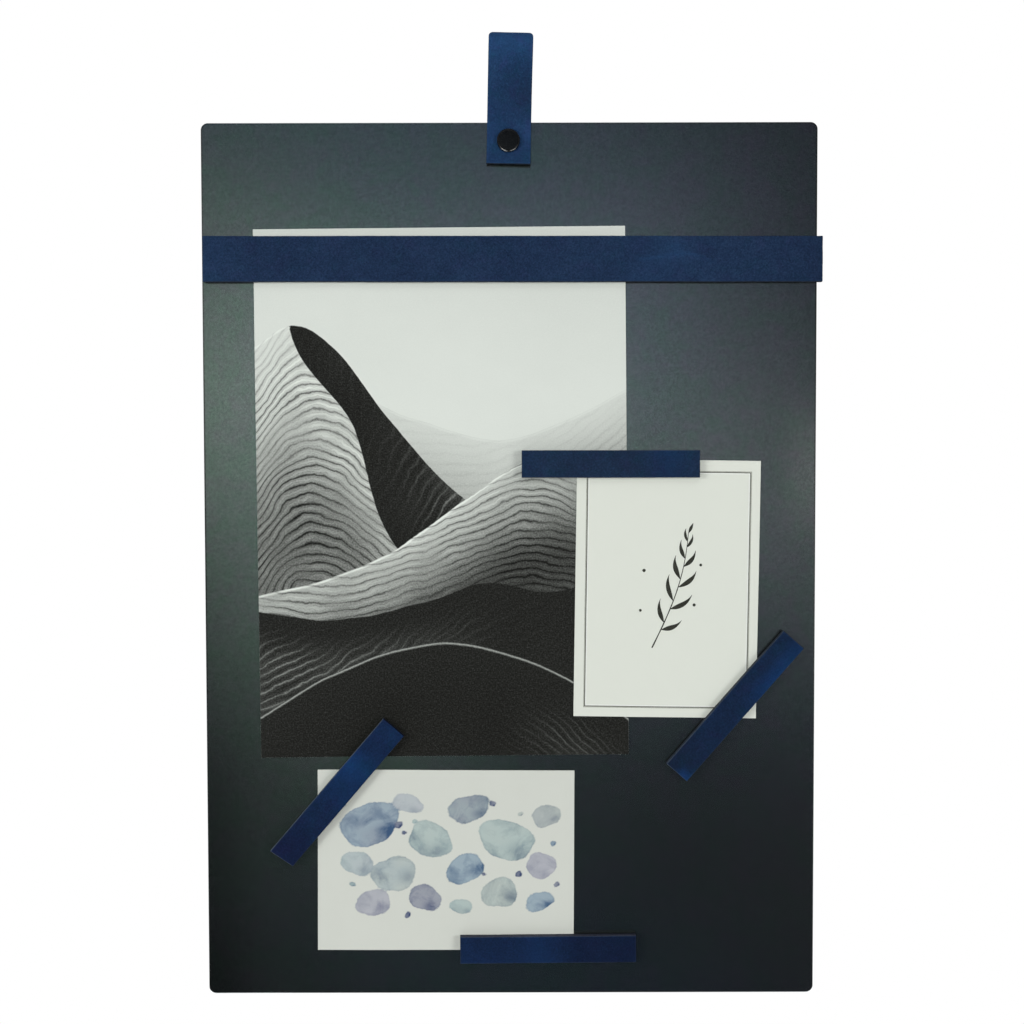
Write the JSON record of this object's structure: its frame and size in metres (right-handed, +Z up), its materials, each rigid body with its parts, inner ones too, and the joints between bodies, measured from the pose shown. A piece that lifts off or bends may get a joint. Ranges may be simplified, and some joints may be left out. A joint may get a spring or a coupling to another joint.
{
  "type": "magnetic memo board",
  "caption": "Thin steel memo board hung from a folded leather strap, with leather-covered magnet strips that hold a print and two cards.",
  "frame": {"origin": "inner top of the hanger strap's loop, where a rail or a hook carries the board", "axes": "+Z up, the board's front faces -Y, +X to the right of a viewer in front"},
  "size_m": [0.3522, 0.0114, 0.5505],
  "materials": {
    "plate_steel": "satin",
    "strap_leather": "matte",
    "band_leather": "matte",
    "strip_leather": "satin",
    "suede_liner": "matte",
    "black_metal": "satin",
    "magnet_nickel": "polished",
    "bumper_rubber": "matte",
    "print_paper": "matte",
    "card_paper": "matte"
  },
  "bodies": {
    "hanger": {"hanger_strap": "strap_leather", "cap_post": "black_metal", "back_screw": "black_metal"},
    "board": {"board_plate": "plate_steel", "wall_bumper_left": "bumper_rubber", "wall_bumper_right": "bumper_rubber"},
    "wide_band": {"wide_band_leather": "band_leather", "wide_band_liner": "suede_liner", "wide_band_magnet_1": "magnet_nickel", "wide_band_magnet_2": "magnet_nickel", "wide_band_magnet_3": "magnet_nickel", "wide_band_magnet_4": "magnet_nickel", "wide_band_magnet_5": "magnet_nickel", "wide_band_magnet_6": "magnet_nickel", "wide_band_magnet_7": "magnet_nickel"},
    "upper_strip": {"upper_strip_leather": "strip_leather", "upper_strip_liner": "suede_liner", "upper_strip_magnet_1": "magnet_nickel", "upper_strip_magnet_2": "magnet_nickel", "upper_strip_magnet_3": "magnet_nickel"},
    "right_strip": {"right_strip_leather": "strip_leather", "right_strip_liner": "suede_liner", "right_strip_magnet_1": "magnet_nickel", "right_strip_magnet_2": "magnet_nickel", "right_strip_magnet_3": "magnet_nickel"},
    "left_strip": {"left_strip_leather": "strip_leather", "left_strip_liner": "suede_liner", "left_strip_magnet_1": "magnet_nickel", "left_strip_magnet_2": "magnet_nickel", "left_strip_magnet_3": "magnet_nickel"},
    "lower_strip": {"lower_strip_leather": "strip_leather", "lower_strip_liner": "suede_liner", "lower_strip_magnet_1": "magnet_nickel", "lower_strip_magnet_2": "magnet_nickel", "lower_strip_magnet_3": "magnet_nickel"},
    "large_print": {"large_print": "print_paper"},
    "bordered_card": {"bordered_card": "card_paper"},
    "landscape_card": {"landscape_card": "card_paper"}
  },
  "joints": [
    {"name": "board_swing", "type": "hinge", "parent": "hanger", "child": "board", "pos_m": [-0.00159, 0.00125, -0.05878], "axis": [0, 1, 0], "range_deg": [-65, 65]},
    {"name": "wide_band_lift", "type": "slide", "parent": "board", "child": "wide_band", "axis": [0, -1, 0], "range_m": [0, 0.06]},
    {"name": "upper_strip_lift", "type": "slide", "parent": "board", "child": "upper_strip", "axis": [0, -1, 0], "range_m": [0, 0.06]},
    {"name": "right_strip_lift", "type": "slide", "parent": "board", "child": "right_strip", "axis": [0, -1, 0], "range_m": [0, 0.06]},
    {"name": "left_strip_lift", "type": "slide", "parent": "board", "child": "left_strip", "axis": [0, -1, 0], "range_m": [0, 0.06]},
    {"name": "lower_strip_lift", "type": "slide", "parent": "board", "child": "lower_strip", "axis": [0, -1, 0], "range_m": [0, 0.06]},
    {"name": "large_print_pull", "type": "slide", "parent": "board", "child": "large_print", "axis": [-1, 0, 0], "range_m": [0, 0.12]},
    {"name": "bordered_card_pull", "type": "slide", "parent": "board", "child": "bordered_card", "axis": [1, 0, 0], "range_m": [0, 0.11]},
    {"name": "landscape_card_pull", "type": "slide", "parent": "board", "child": "landscape_card", "axis": [0, 0, -1], "range_m": [0, 0.11]}
  ]
}
